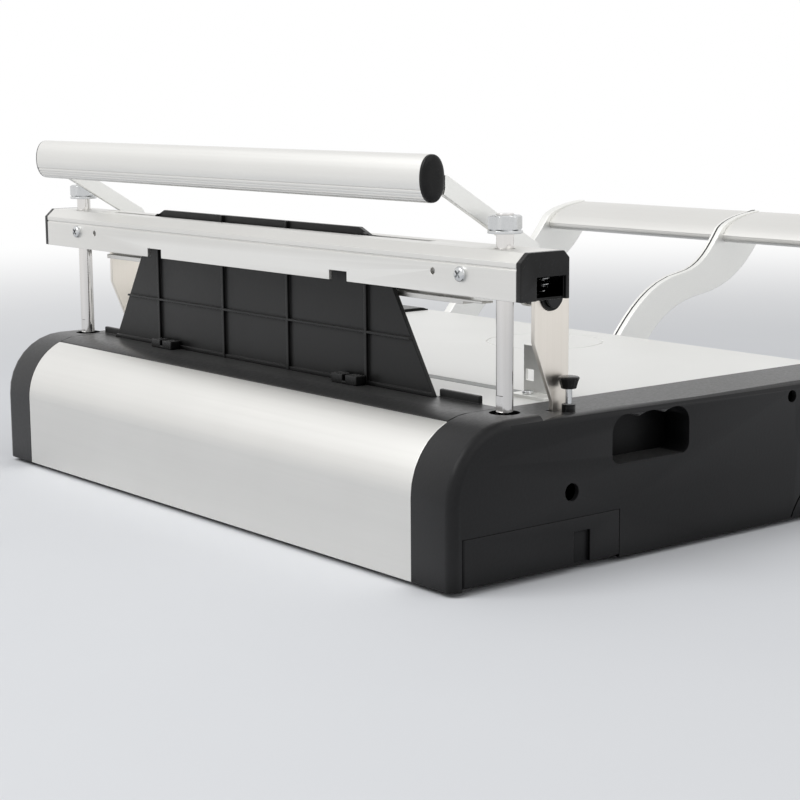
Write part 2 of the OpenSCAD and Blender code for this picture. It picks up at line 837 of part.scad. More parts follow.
module side_hatch() color("#29292a") depth_frame() at_left() difference() {
  union() {
    block(half_w - hatch_t, half_w, hatch_v, hatch_v + hatch_l, hatch_low, hatch_h);
    rod_z(hatch_low, hatch_h, hatch_t, hatch_pin_x, hatch_v);
  }
  block(half_w - grip_deep, half_w + cut, grip_v, grip_v + grip_w, hatch_low - cut, hatch_low + grip_h);
  rod_z(-cut, hatch_h + cut, hatch_pin_d + 2 * run_gap, hatch_pin_x, hatch_v);
}

// Outline of a lever arm as offsets from the shaft
lever_points = concat(curve(neck_top), after(curve(back_low)), after(curve(back_high)),
  after(curve(crown)), curve(front_high), after(curve(front_low)), after(curve(neck_low)));

// One lever arm centred on x, with a groove of a given depth along its edge, a hub and a bore
module lever_arm(x, deep) {
  place = [shaft_v, shaft_z];
  groove = x + lever_t / 8;
  difference() {
    union() {
      if (deep > 0) {
        across(x - lever_t / 2, groove - edge_groove / 2) polygon(shifted(lever_points, place));
        across(groove - edge_groove / 2, groove + edge_groove / 2)
          polygon(shifted(inset(lever_points, deep), place));
        across(groove + edge_groove / 2, x + lever_t / 2) polygon(shifted(lever_points, place));
      } else
        across(x - lever_t / 2, x + lever_t / 2) polygon(shifted(lever_points, place));
      rod_x(x - lever_hub_t / 2, x + lever_hub_t / 2, 2 * lever_hub_r, shaft_v, shaft_z);
    }
    rod_x(x - lever_hub_t, x + lever_hub_t, shaft_d + 2 * seat_gap, shaft_v, shaft_z);
  }
}

module left_lever_arm() color("#dededb") depth_frame() lever_arm(-lever_x, 0);
module middle_lever_arm() color("#dededb") depth_frame() lever_arm(0, edge_groove_deep);
module right_lever_arm() color("#dededb") depth_frame() lever_arm(lever_x, 0);

// Section of the lever bar: a bowed strip with a rolled rear edge and a turned-down front
bar_top = curve(bar_curve);
bar_under = inset(bar_top, bar_t);
bar_points = concat(bar_top,
  [bar_top[curve_n] - [0, bar_front_h], bar_top[curve_n] - [bar_t, bar_front_h],
    bar_top[curve_n] - [bar_t, bar_t]],
  [for (i = [curve_n - 1 : -1 : 2]) bar_under[i]],
  arc(bar_lip, bar_lip_r, bar_lip_angles[0], bar_lip_angles[1]));

// The bar's two halves, each between two lever arms
module lever_bar() color("#e0e0dd") depth_frame() both_ends()
  across(lever_t / 2, lever_x - lever_t / 2) polygon(shifted(bar_points, [shaft_v, shaft_z]));

module lever_shaft() color("#a9abad") depth_frame()
  rod_x(-frame_out - bush_flange, frame_out + bush_flange, shaft_d, shaft_v, shaft_z);

// Cams on the lever shaft that press the rockers down
module lever_cams() color("#85888b") depth_frame() both_ends() difference() {
  union() {
    across(cam_x - cam_t / 2, cam_x + cam_t / 2)
      polygon(capsule([shaft_v, shaft_z], [shaft_v, shaft_z] + cam_nose, cam_nose_r));
    rod_x(cam_x - cam_t, cam_x + cam_t, 2 * cam_hub_r, shaft_v, shaft_z);
  }
  rod_x(cam_x - 2 * cam_t, cam_x + 2 * cam_t, shaft_d + 2 * seat_gap, shaft_v, shaft_z);
}

module rocker_shaft() color("#a9abad") depth_frame()
  rod_x(-frame_out - bush_flange, frame_out + bush_flange, rocker_d, rocker_v, rocker_z);

// Two rockers: the cams press their front ends down and their rear ends lift the bar
module rocker_plates() color("#85888b") depth_frame() both_ends() difference() {
  union() {
    across(cam_x - cam_t / 2, cam_x + cam_t / 2) {
      polygon(capsule([rocker_v, rocker_z], [rocker_v + rocker_reach, rocker_z], rocker_half_front));
      polygon(capsule([lift_v, rocker_z], [rocker_v, rocker_z], rocker_half_rear));
    }
    rod_x(cam_x - rocker_hub_t / 2, cam_x + rocker_hub_t / 2, rocker_hub_d, rocker_v, rocker_z);
  }
  rod_x(cam_x - rocker_hub_t, cam_x + rocker_hub_t, rocker_d + 2 * seat_gap, rocker_v, rocker_z);
  across(cam_x - cam_t, cam_x + cam_t)
    polygon(capsule([lift_v - lift_play, rocker_z], [lift_v + lift_play, rocker_z],
      lift_pin_d / 2 + part_gap));
}

// Grey lifting bar in the table slot, with forked legs for the rocker pins
module lift_bar() color("#8f9191") depth_frame() {
  rear = lift_v - lift_w / 2;
  front = lift_v + lift_w / 2;
  difference() {
    union() {
      block(-lift_l / 2, lift_l / 2, rear, front, lift_low, table_z);
      for (x = [-cam_x, cam_x])
        for (side = [-1, 1])
          translate([x + side * (leg_gap + leg_t) / 2 - leg_t / 2, rear, leg_foot])
            cube([leg_t, lift_w, lift_low - leg_foot]);
    }
    rod_x(-half_w, half_w, lift_pin_d + 2 * seat_gap, lift_v, rocker_z);
  }
}

module lift_pins() color("#a9abad") depth_frame() both_ends()
  rod_x(cam_x - leg_gap / 2 - leg_t, cam_x + leg_gap / 2 + leg_t, lift_pin_d, lift_v, rocker_z);

// Outer section of the beam
module beam_section() {
  polygon([[beam_v, beam_z], [beam_v, beam_top - bevel_h], [beam_v + bevel_v, beam_top],
    [beam_front - back_bevel, beam_top], [beam_front, beam_top - back_bevel], [beam_front, beam_z]]);
}

module beam_rail() color("#dcdcda") depth_frame() difference() {
  across(-beam_half, beam_half) difference() {
    beam_section();
    translate([beam_v + beam_wall, beam_z - cut])
      square([beam_d - 2 * beam_wall, beam_h - bevel_h + cut]);
    translate([beam_v + bevel_v, beam_z - cut])
      square([beam_d - bevel_v - back_bevel, beam_h - beam_wall + cut]);
    translate([beam_v, line_z]) rotate(45) square(line_cut * sqrt(2), center = true);
  }
  block(guard_x - guard_w / 2, guard_x + guard_w / 2, guard_v - rib_h - slot_gap,
    guard_v + guard_t + slot_gap, beam_z, beam_top + cut);
  for (x = [-notch_x, notch_x])
    block(x + guard_x / 4 - notch_w / 2, x + guard_x / 4 + notch_w / 2, beam_v - cut,
      beam_v + beam_wall + cut, beam_z - cut, beam_z + notch_h);
  for (x = [-post_x, post_x])
    rod_z(beam_z, beam_top + cut, post_d + 2 * slot_gap, x, post_v);
  for (x = [-screw_x, screw_x])
    rod_v(beam_v - cut, beam_v + beam_wall + cut, shank_d + 2 * seat_gap, x, screw_z);
  for (x = [-hole_x, hole_x])
    rod_v(beam_v - cut, beam_v + beam_wall + cut, small_hole_d, x, screw_z);
}

// Moulded cap at plus x with a mouth in its end face, a lining behind it and a ledge for the spring
module beam_cap() {
  across(beam_half, beam_half + beam_cap_t) difference() {
    beam_section();
    translate([beam_v + mouth_v, beam_z - cut])
      square([beam_d - mouth_v - mouth_wall, mouth_h + cut]);
  }
  inner = beam_front - beam_wall - seat_gap;
  high = beam_top - bevel_h - seat_gap;
  block(beam_half - seat_w, beam_half + beam_cap_t / 2, beam_v + beam_wall + seat_gap, inner, beam_z,
    beam_z + seat_t);
  block(beam_half - seat_w, beam_half + beam_cap_t / 2, inner - liner_t, inner, beam_z, high);
  block(beam_half - seat_w, beam_half - seat_w + liner_t, beam_v + beam_wall + seat_gap, inner, beam_z,
    high);
}

module left_beam_cap() color("#2a2a2b") depth_frame() at_left() beam_cap();
module right_beam_cap() color("#2a2a2b") depth_frame() beam_cap();

module guide_blocks() color("#e6e4dc") depth_frame() both_ends() difference() {
  block(post_x - guide_w / 2, post_x + guide_w / 2, beam_v + beam_wall + seat_gap,
    beam_front - beam_wall - seat_gap, beam_z, beam_top - bevel_h - seat_gap);
  rod_z(beam_z - cut, beam_top, post_d + 2 * run_gap, post_x, post_v);
}

module press_foot() color("#cfcfcc") depth_frame() translate([guard_x, 0, 0]) {
  block(-foot_l / 2, foot_l / 2, foot_v, foot_v + foot_w, beam_z - foot_drop,
    beam_z - foot_drop + foot_t);
  block(-foot_l / 2, foot_l / 2, foot_v + foot_w - foot_t, foot_v + foot_w,
    beam_z - foot_drop, beam_z + beam_h / 2);
  block(-foot_l / 2 - foot_tab, -foot_l / 2, foot_v, foot_v + foot_w,
    beam_z - foot_drop + foot_t / 2, beam_z - foot_drop + foot_t);
}

module beam_screws() color("#b9bbbc") depth_frame()
  for (x = [-screw_x, screw_x]) {
    difference() {
      rod_v(beam_v - head_h, beam_v, head_d, x, screw_z);
      for (a = [45, 135])
        translate([x, beam_v - head_h, screw_z]) rotate([0, a, 0])
          cube([cross_l, head_h, cross_w], center = true);
    }
    rod_v(beam_v, beam_v + beam_wall, shank_d, x, screw_z);
  }

// Spring coil: rings of points along a helix, joined into one closed tube
coil_slope = atan2(coil_pitch, 2 * PI * coil_r);
function coil_ring(i) = let (a = 360 * i / coil_rings) [for (k = [0 : coil_sides - 1])
  let (b = 360 * k / coil_sides, out = coil_wire / 2 * cos(b), up = coil_wire / 2 * sin(b))
  [(coil_r + out) * cos(a) + up * sin(coil_slope) * sin(a),
    (coil_r + out) * sin(a) - up * sin(coil_slope) * cos(a),
    coil_pitch * i / coil_rings + up * cos(coil_slope)]];

coil_count = coil_curls * coil_rings;
coil_end = coil_count * coil_sides;
coil_points = [for (i = [0 : coil_count]) each coil_ring(i)];
coil_faces = concat(
  [for (i = [0 : coil_count - 1]) for (k = [0 : coil_sides - 1])
    let (m = (k + 1) % coil_sides, p = i * coil_sides, q = p + coil_sides)
    each [[p + k, p + m, q + k], [p + m, q + m, q + k]]],
  [for (k = [1 : coil_sides - 2]) [0, k + 1, k]],
  [for (k = [1 : coil_sides - 2]) [coil_end, coil_end + k, coil_end + k + 1]]
);
coil_gap = min([for (i = [0 : coil_rings]) for (p = coil_ring(i))
  for (q = coil_ring(i + coil_rings)) norm(p - q)]);
echo(least_gap_between_spring_curls = coil_gap);

module cap_spring()
  translate([coil_x, coil_v, coil_low])
    polyhedron(points = coil_points, faces = coil_faces, convexity = 4);

module left_cap_spring() color("#cfd1d2") depth_frame() at_left() cap_spring();
module right_cap_spring() color("#cfd1d2") depth_frame() cap_spring();

// Oval section of the handle tube, drawn in by t
module tube_outline(t) {
  r = tube_d / 2 - t;
  rise = (tube_h - tube_d) / 2;
  for (s = [-1, 1])
    translate([tube_v, tube_z + s * rise]) circle(r = r);
  translate([tube_v - r, tube_z - rise]) square([2 * r, 2 * rise]);
}

module handle_tube() color("#dfdfdc") depth_frame() across(-tube_l / 2, tube_l / 2) difference() {
  tube_outline(0);
  tube_outline(tube_wall);
}

module handle_caps() color("#2a2a2b") depth_frame() both_ends()
  across(tube_l / 2, tube_l / 2 + cap_t) tube_outline(0);

// Flat arm at plus x: from the front of the tube over the beam and down to the strap eye
module handle_arm() {
  across(arm_in, arm_in + arm_t) difference() {
    union() {
      polygon(capsule([tube_v + tube_d / 2, tube_z - arm_w / 3], [knee_v, knee_z], arm_w / 2));
      polygon(capsule([knee_v, knee_z - leg_w / 8], [eye_v, eye_z], leg_w / 2));
    }
    tube_outline(0);
    translate([eye_v, eye_z]) circle(d = pivot_d + 2 * seat_gap);
  }
}

module left_handle_arm() color("#dadad7") depth_frame() at_left() handle_arm();
module right_handle_arm() color("#dadad7") depth_frame() handle_arm();

// Pivot pins of the handle with a spacer collar and a head
module handle_pins() color("#b5b7b8") depth_frame() both_ends() {
  rod_x(arm_in, strap_out + bush_over + slot_gap / 2, pivot_d, eye_v, eye_z);
  rod_x(arm_in + arm_t, strap_in - bush_over - slot_gap / 2, collar_d, eye_v, eye_z);
  rod_x(strap_out + bush_over + slot_gap / 2, strap_out + bush_over + slot_gap / 2 + collar_t,
    collar_d, eye_v, eye_z);
}

// Lock pin through the left rim with its retaining ring below
module lock_pin() color("#b5b7b8") depth_frame() at_left() {
  rod_z(lock_foot, knob_low + knob_h / 2, lock_d, lock_x, lock_v);
  rod_z(ring_z, ring_z + ring_t, lock_d + ring_over, lock_x, lock_v);
}

module lock_knob() color("#1d1d1e") depth_frame() at_left() difference() {
  translate([lock_x, lock_v, knob_low]) cylinder(d1 = knob_d1, d2 = knob_d2, h = knob_h);
  rod_z(knob_low - cut, knob_low + knob_h / 2, lock_d + 2 * seat_gap, lock_x, lock_v);
}

left_end_shell();
right_end_shell();
rear_panel();
top_strip();
front_panel();
bottom_pan();
rubber_feet();
pan_screws();
left_side_frame();
right_side_frame();
post_blocks();
left_post();
right_post();
stop_washers();
stop_nuts();
table_plate();
left_fence();
right_fence();
fence_screws();
guard_plate();
guard_clips();
left_strap();
right_strap();
strap_bolts();
strap_bushes();
lever_bushes();
rocker_bushes();
hub_covers();
hatch_pin();
side_hatch();
lever_shaft();
left_lever_arm();
middle_lever_arm();
right_lever_arm();
lever_bar();
lever_cams();
rocker_shaft();
rocker_plates();
lift_bar();
lift_pins();
beam_rail();
left_beam_cap();
right_beam_cap();
guide_blocks();
press_foot();
beam_screws();
left_cap_spring();
right_cap_spring();
handle_tube();
handle_caps();
left_handle_arm();
right_handle_arm();
handle_pins();
lock_pin();
lock_knob();
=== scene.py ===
# %% [markdown]
# # A manual binding press
# The machine is a flat base with a table. At the rear a press beam slides on two chromed
# columns, pushed down by a tube handle. In front a wide lever with three curved arms lifts a
# bar in the table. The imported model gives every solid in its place, in metres, so this lesson
# only adds what a solid lacks: broken edges, worked details, finishes, light and a camera.

import json
import math

import bmesh
import bpy
from mathutils import Matrix, Vector


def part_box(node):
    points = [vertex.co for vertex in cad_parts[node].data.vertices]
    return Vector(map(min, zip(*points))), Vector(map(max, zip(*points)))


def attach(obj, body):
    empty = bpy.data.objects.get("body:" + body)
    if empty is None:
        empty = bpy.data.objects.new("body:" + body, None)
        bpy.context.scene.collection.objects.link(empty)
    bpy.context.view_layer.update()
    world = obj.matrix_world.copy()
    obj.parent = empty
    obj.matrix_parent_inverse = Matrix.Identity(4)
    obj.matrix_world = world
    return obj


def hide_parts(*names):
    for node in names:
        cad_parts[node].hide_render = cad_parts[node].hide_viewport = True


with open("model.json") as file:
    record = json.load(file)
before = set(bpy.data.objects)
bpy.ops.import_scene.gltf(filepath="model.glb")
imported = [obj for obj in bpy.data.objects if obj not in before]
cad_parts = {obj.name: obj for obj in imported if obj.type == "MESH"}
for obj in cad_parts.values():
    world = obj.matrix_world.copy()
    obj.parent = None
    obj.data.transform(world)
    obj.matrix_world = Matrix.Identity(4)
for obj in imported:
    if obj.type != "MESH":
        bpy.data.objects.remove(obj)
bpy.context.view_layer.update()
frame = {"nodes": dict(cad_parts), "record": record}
MM = 0.001

# %% [markdown]
# ## Two small helpers for finishes
# Colours are given as sRGB hex values, but a shader works with linear light, so one
# function turns the one into the other. A second one adds a shader node with its settings,
# socket values and links in a single call, which keeps each finish readable from top to bottom.


# %% Colour and node helpers
def linear(hex_code):
    parts = [int(hex_code[i : i + 2], 16) / 255 for i in (1, 3, 5)]
    lit = [c / 12.92 if c <= 0.04045 else ((c + 0.055) / 1.055) ** 2.4 for c in parts]
    return (*lit, 1.0)


def add(tree, kind, values=None, links=None, **settings):
    node = tree.nodes.new(kind)
    for key, value in settings.items():
        setattr(node, key, value)
    for socket, value in (values or {}).items():
        node.inputs[socket].default_value = value
    for socket, source in (links or {}).items():
        tree.links.new(source, node.inputs[socket])
    return node


print("mid grey #808080 in linear light:", round(linear("#808080")[0], 3))

# %% [markdown]
# ## One recipe for a worked surface
# Every finish here has three things that the eye reads: a fine grain left by the way the piece
# was made, broad and faint patches from handling, and edges that are a little brighter, partly
# because they rub and partly as a painted highlight. Pictures could carry such marks, but noise
# needs no file, shows no seams and keeps its size in millimetres on every piece. One noise gives
# the grain, stretched along the piece where it was drawn or brushed, and a second, wider one gives
# the patches.


# %% Grain and patches
TONE_RANGE = (0.6, 1.4)  # sum of grain and patches, from dull to bright


def grained(tree, dull, bright, grain_mm, run, patch_mm):
    """The colour of a bare surface, and the grain that its gloss and relief share."""
    place = add(tree, "ShaderNodeTexCoord").outputs["Object"]
    along = add(tree, "ShaderNodeMapping", {"Scale": run}, {"Vector": place})
    grain = add(
        tree,
        "ShaderNodeTexNoise",
        {"Scale": 1000 / grain_mm, "Detail": 4.0, "Roughness": 0.6},
        {"Vector": along.outputs["Vector"]},
    ).outputs["Fac"]
    patch = add(
        tree,
        "ShaderNodeTexNoise",
        {"Scale": 1000 / patch_mm, "Detail": 2.0},
        {"Vector": place},
    ).outputs["Fac"]
    both = add(tree, "ShaderNodeMath", links={0: grain, 1: patch}, operation="ADD")
    tone = add(
        tree,
        "ShaderNodeMapRange",
        {"From Min": TONE_RANGE[0], "From Max": TONE_RANGE[1]},
        {"Value": both.outputs[0]},
    )
    colour = add(
        tree,
        "ShaderNodeMix",
        {"A": linear(dull), "B": linear(bright)},
        {"Factor": tone.outputs["Result"]},
        data_type="RGBA",
    ).outputs["Result"]
    return colour, grain


print("grain and patches run from", TONE_RANGE[0], "to", TONE_RANGE[1])

# %% [markdown]
# ## Rubbed edges with a painted highlight
# Hands and cloths reach the edges first, so plating and plastic are a little paler there. The same
# paler colour also paints the highlight that a rounded edge catches. The edges could be painted by
# hand. The shader's pointiness finds them by itself, on every piece.


# %% Rubbed edges with a painted highlight
EDGE_RANGE = (0.52, 0.62)  # pointiness, from a plain face to a rubbed edge with a painted highlight
WEAR_AND_SHEEN_SHARE = 0.5  # how far such an edge goes to its paler colour


def rubbed_and_sheen_edges(tree, colour, worn_and_sheen):
    # Edges turn paler: partly wear, partly a painted highlight.
    bend = add(tree, "ShaderNodeNewGeometry").outputs["Pointiness"]
    rub_and_sheen = add(
        tree,
        "ShaderNodeMapRange",
        {"From Min": EDGE_RANGE[0], "From Max": EDGE_RANGE[1], "To Max": WEAR_AND_SHEEN_SHARE},
        {"Value": bend},
    )
    return add(
        tree,
        "ShaderNodeMix",
        {"B": linear(worn_and_sheen)},
        {"Factor": rub_and_sheen.outputs["Result"], "A": colour},
        data_type="RGBA",
    ).outputs["Result"]


print("an edge is rubbed from pointiness", EDGE_RANGE[0])

# %% [markdown]
# ## Painted shade in hollows
# Shade is painted into the hollows of a dark plastic. A dark finish may name a distance within
# which a facing wall takes away its colour and its gloss, and that darkening is painted shade.


# %% Painted shade in hollows
OPEN_RANGE = (0.3, 0.8)  # open share of the view, from a deep hollow to a free face
HOLLOW_LEFT = 0.1  # colour and gloss left in a deep hollow
PLAIN_GLOSS = 0.5  # specular level of a plain dielectric
BLACK = (0.0, 0.0, 0.0, 1.0)


def painted_hollow_shade(tree, colour, hollow_mm):
    """The colour and the specular level of a finish with painted shade in its hollows."""
    near = add(tree, "ShaderNodeAmbientOcclusion", {"Distance": hollow_mm * MM}, samples=8)
    reach = add(
        tree,
        "ShaderNodeMapRange",
        {"From Min": OPEN_RANGE[0], "From Max": OPEN_RANGE[1], "To Min": HOLLOW_LEFT},
        {"Value": near.outputs["AO"]},
    ).outputs["Result"]
    shaded = add(
        tree,
        "ShaderNodeMix",
        {"A": BLACK},
        {"Factor": reach, "B": colour},
        data_type="RGBA",
    ).outputs["Result"]
    gloss = add(tree, "ShaderNodeMath", {1: PLAIN_GLOSS}, {0: reach}, operation="MULTIPLY")
    return shaded, gloss.outputs[0]


print("colour left in a deep hollow:", HOLLOW_LEFT)

# %% [markdown]
# ## The whole finish
# The grain drives colour, roughness and a shallow bump together, as it does on a real surface: a
# raised grain is paler, rougher and catches the light. What is the same all over, such as the IOR
# or the sheen, is set on the shader itself.


# %% Whole finish
GRAIN_RANGE = (0.3, 0.7)  # where nearly all of the noise lies


def surface(
    name,
    dull,
    bright,
    grain_mm,
    rough,
    bump_mm,
    run=(1, 1, 1),
    patch_mm=70,
    worn_and_sheen=None,
    hollow_mm=0,
    **sockets,
):
    finish = bpy.data.materials.new(name)
    finish.use_nodes = True
    tree = finish.node_tree
    tree.nodes.clear()
    colour, grain = grained(tree, dull, bright, grain_mm, run, patch_mm)
    links = {}
    # Paler edges: wear and a painted highlight.
    if worn_and_sheen:
        colour = rubbed_and_sheen_edges(tree, colour, worn_and_sheen)
    # Painted shade: colour and gloss darken in hollows.
    if hollow_mm:
        colour, links["Specular IOR Level"] = painted_hollow_shade(tree, colour, hollow_mm)
    low, high = GRAIN_RANGE
    matt = add(
        tree,
        "ShaderNodeMapRange",
        {"From Min": low, "From Max": high, "To Min": rough[0], "To Max": rough[1]},
        {"Value": grain},
    )
    relief = add(
        tree, "ShaderNodeBump", {"Strength": 1.0, "Distance": bump_mm * MM}, {"Height": grain}
    )
    links["Base Color"] = colour
    links["Roughness"] = matt.outputs["Result"]
    links["Normal"] = relief.outputs["Normal"]
    shader = add(tree, "ShaderNodeBsdfPrincipled", sockets, links)
    add(tree, "ShaderNodeOutputMaterial", links={"Surface": shader.outputs["BSDF"]})
    return finish


print("one recipe, used for every finish below")

# %% [markdown]
# ## Moulded plastics
# The ends of the base, the guard, the strips and the caps are moulded ABS, coloured black through
# and through. One black could serve for all, but the tools that they come out of differ, and so
# does their gloss. Carbon black in the plastic keeps its mirror part low when it is seen straight
# on, and a thin sheen brings back the pale gleam that such a surface has at a flat angle. The real
# grain is finer than a pixel here, so each one is drawn as coarse as it needs to show.

# %% Plastic finishes
# The black finishes darken in their hollows (hollow_mm): that is painted shade.
MATT_BLACK = {
    "Specular Tint": (0.2, 0.2, 0.2, 1.0),
    "Sheen Weight": 0.2,
    "Sheen Roughness": 0.25,
}
# Moulded ABS from a spark-eroded tool: deep black and matt, with a faint speckle of light.
# Its grain is about 0.5 mm, drawn at 2 mm.
abs_grained = surface(
    "ABS_black_spark_grain",
    "#19191a",
    "#202021",
    grain_mm=2.0,
    rough=(0.32, 0.42),
    bump_mm=0.05,
    worn_and_sheen="#39393a",
    hollow_mm=28,
    IOR=1.54,
    **MATT_BLACK,
)
# Moulded ABS from a plain milled tool: black with a soft satin gleam.
# The tool's marks are about 0.3 mm, drawn at 3 mm.
abs_plain = surface(
    "ABS_black_satin",
    "#1d1d1d",
    "#272727",
    grain_mm=3.0,
    rough=(0.3, 0.42),
    bump_mm=0.03,
    worn_and_sheen="#434343",
    hollow_mm=12,
    IOR=1.54,
    **MATT_BLACK,
)
# Moulded ABS from a polished tool: black with small, clear highlights.
# The tool's marks are about 0.2 mm, drawn at 3 mm.
abs_dark = surface(
    "ABS_black_gloss_cap",
    "#181818",
    "#212121",
    grain_mm=3.0,
    rough=(0.2, 0.3),
    bump_mm=0.015,
    worn_and_sheen="#3c3c3c",
    hollow_mm=10,
    IOR=1.54,
    **MATT_BLACK,
)
# Moulded polyamide: a dull mid grey, a little uneven where the melt ran.
# Its fibres are about 0.3 mm long, drawn at 1.6 mm.
grey_polymer = surface(
    "polyamide_grey_moulded",
    "#858786",
    "#959796",
    grain_mm=1.6,
    rough=(0.42, 0.55),
    bump_mm=0.03,
    worn_and_sheen="#a7a9a8",
    IOR=1.53,
)
# Acetal machined from bar: off-white and waxy, with a soft highlight.
# The cutter's marks are about 0.1 mm, drawn at 1.2 mm.
acetal = surface(
    "acetal_white_machined",
    "#dcdad2",
    "#e9e7df",
    grain_mm=1.2,
    rough=(0.3, 0.4),
    bump_mm=0.01,
    IOR=1.48,
)
# Moulded rubber: black and floury, with no highlight to speak of.
# Its grain is about 0.2 mm, drawn at 1 mm.
rubber = surface(
    "rubber_black_moulded",
    "#171717",
    "#222222",
    grain_mm=1.0,
    rough=(0.75, 0.9),
    bump_mm=0.05,
    IOR=1.52,
)
print("plastic and rubber finishes: 6")

# %% [markdown]
# ## Metals
# The rear panel, the beam, the tube and the lever are aluminium with a satin anodised layer: pale,
# soft in its reflections, with faint lines along the way it was drawn through the die. The shader
# has a socket for such a gleam, but real lines also show up close, so the noise itself is
# stretched along X. The lever arms are cut from plate and blasted, so their grain has no
# direction. The columns are ground and chromed, the straps are polished stainless sheet, the
# fasteners are zinc plated, the bottom pan and the handle's pivot pins are blackened, and the
# table is painted.

# %% Metal finishes
DRAWN_X = (0.004, 1.0, 1.0)
DRAWN_Z = (1.0, 1.0, 0.006)
# Aluminium drawn through a die and anodised: pale, with soft streaks along its length.
# The die lines are about 0.2 mm wide, drawn at 1.6 mm.
aluminium_drawn = surface(
    "aluminium_anodised_drawn",
    "#d6d5d2",
    "#dcdbd8",
    grain_mm=1.6,
    rough=(0.4, 0.45),
    bump_mm=0.004,
    run=DRAWN_X,
    worn_and_sheen="#f0f0ee",
    Metallic=1.0,
)
# Aluminium plate, bead blasted and anodised: pale and even from every side.
# The beads' dents are about 0.1 mm, drawn at 1.2 mm.
aluminium_blasted = surface(
    "aluminium_anodised_blasted",
    "#e6e6e3",
    "#efefec",
    grain_mm=1.2,
    rough=(0.4, 0.5),
    bump_mm=0.015,
    worn_and_sheen="#f2f2f0",
    Metallic=1.0,
)
# Sheet steel with a stoved pale grey paint: smooth, mirroring only at a flat angle.
# The paint's orange peel is about 2.4 mm wide, as drawn.
steel_painted = surface(
    "steel_painted_pale_grey",
    "#ebebe8",
    "#f1f1ee",
    grain_mm=2.4,
    rough=(0.36, 0.42),
    bump_mm=0.002,
    worn_and_sheen="#f4f4f2",
    IOR=1.5,
)
# Steel rod, ground and chromed: nearly a mirror, with long narrow highlights.
# The grinding lines are finer than 0.1 mm, drawn at 1 mm.
steel_chromed = surface(
    "steel_chromed_ground",
    "#d2d0ce",
    "#dedcda",
    grain_mm=1.0,
    rough=(0.06, 0.13),
    bump_mm=0.001,
    run=DRAWN_Z,
    Metallic=1.0,
)
# Stainless sheet, brushed and polished: bright and a little warm, with blurred reflections.
# The brush lines are about 0.1 mm, drawn at 1.2 mm.
steel_polished = surface(
    "steel_stainless_polished",
    "#eae3d9",
    "#f2ece3",
    grain_mm=1.2,
    rough=(0.3, 0.38),
    bump_mm=0.004,
    run=DRAWN_Z,
    worn_and_sheen="#eeebe6",
    Metallic=1.0,
)
# Steel with zinc plating: a cool grey that shines, clouded in patches of about 9 mm.
# Its grain is about 0.1 mm, drawn at 2 mm.
steel_zinc = surface(
    "steel_zinc_plated",
    "#c3c5c6",
    "#cfd0d1",
    grain_mm=2.0,
    rough=(0.18, 0.24),
    bump_mm=0.001,
    patch_mm=9,
    worn_and_sheen="#e2e3e3",
    Metallic=1.0,
)
# Steel with oiled black oxide: nearly black, grey at its edges, where they are rubbed and where a
# highlight is painted.
# Its etched grain is about 0.1 mm, drawn at 1.4 mm.
steel_blackened = surface(
    "steel_black_oxide",
    "#1b1b1c",
    "#262627",
    grain_mm=1.4,
    rough=(0.34, 0.44),
    bump_mm=0.004,
    worn_and_sheen="#4a4a4b",
    IOR=1.6,
    **MATT_BLACK,
)
# Sintered bronze, pressed from powder: brown gold and dull from its pores.
# The pores are about 0.1 mm, drawn at 0.8 mm.
bronze = surface(
    "bronze_sintered",
    "#8d6d3d",
    "#ae8a52",
    grain_mm=0.8,
    rough=(0.36, 0.52),
    bump_mm=0.02,
    Metallic=1.0,
)
print("metal finishes: 8")

# %% [markdown]
# ## Settling a piece
# Each visible piece stands for a node of the model. It takes the node's body, so that it moves
# with it, and the node itself stays hidden for collision. The names could be written out for
# every piece. They are read from the model, so that they can't differ.


# %% Settle a piece
NODE_BODY = {n: b for b, nodes in frame["record"]["behaviour"]["bodies"].items() for n in nodes}
EDGE_TURN = math.radians(40)


def settle(piece, finish, *nodes):
    piece.data.materials.clear()
    piece.data.materials.append(finish)
    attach(piece, NODE_BODY[nodes[0]])
    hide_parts(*nodes)
    return piece


def as_piece(form, name):
    bmesh.ops.recalc_face_normals(form, faces=form.faces)
    mesh = bpy.data.meshes.new(name)
    form.to_mesh(mesh)
    form.free()
    mesh.shade_smooth()
    mesh.set_sharp_from_angle(angle=EDGE_TURN)
    piece = bpy.data.objects.new(name, mesh)
    bpy.context.scene.collection.objects.link(piece)
    even = piece.modifiers.new("even_normals", "WEIGHTED_NORMAL")
    even.keep_sharp = True
    return piece


print("nodes to dress:", len(NODE_BODY))

# %% [markdown]
# ## Dressing a node
# A solid from CAD has knife edges, and no real piece has. The node's mesh is copied, its doubled
# points are merged, slivers are taken out and its flat triangles are joined into whole faces. Then
# every edge that turns more than forty degrees gets a small round, so that it catches the light. A
# bevel modifier could do that too. The mesh operator is used here, because it takes just the edges
# that were picked and leaves a plain mesh.


# %% Dress a node
FLAT_TURN = math.radians(0.5)
MERGE = 0.002 * MM
SLIVER = 0.02 * MM


def merged(node):
    form = bmesh.new()
    form.from_mesh(frame["nodes"][node].data)
    bmesh.ops.remove_doubles(form, verts=form.verts, dist=MERGE)
    return form


def join_flats(form):
    bmesh.ops.dissolve_limit(form, angle_limit=FLAT_TURN, verts=form.verts, edges=form.edges)


def dress(node, finish, round_mm, steps=2):
    form = merged(node)
    bmesh.ops.dissolve_degenerate(form, dist=SLIVER, edges=form.edges)
    join_flats(form)
    if round_mm:
        inner = [e for e in form.edges if len(e.link_faces) == 2]
        edges = [e for e in inner if e.calc_face_angle() > EDGE_TURN]
        bmesh.ops.bevel(
            form,
            geom=edges,
            offset=round_mm * MM,
            offset_type="OFFSET",
            segments=steps,
            profile=0.5,
            affect="EDGES",
            clamp_overlap=False,
        )
    return settle(as_piece(form, node + "_piece"), finish, node)


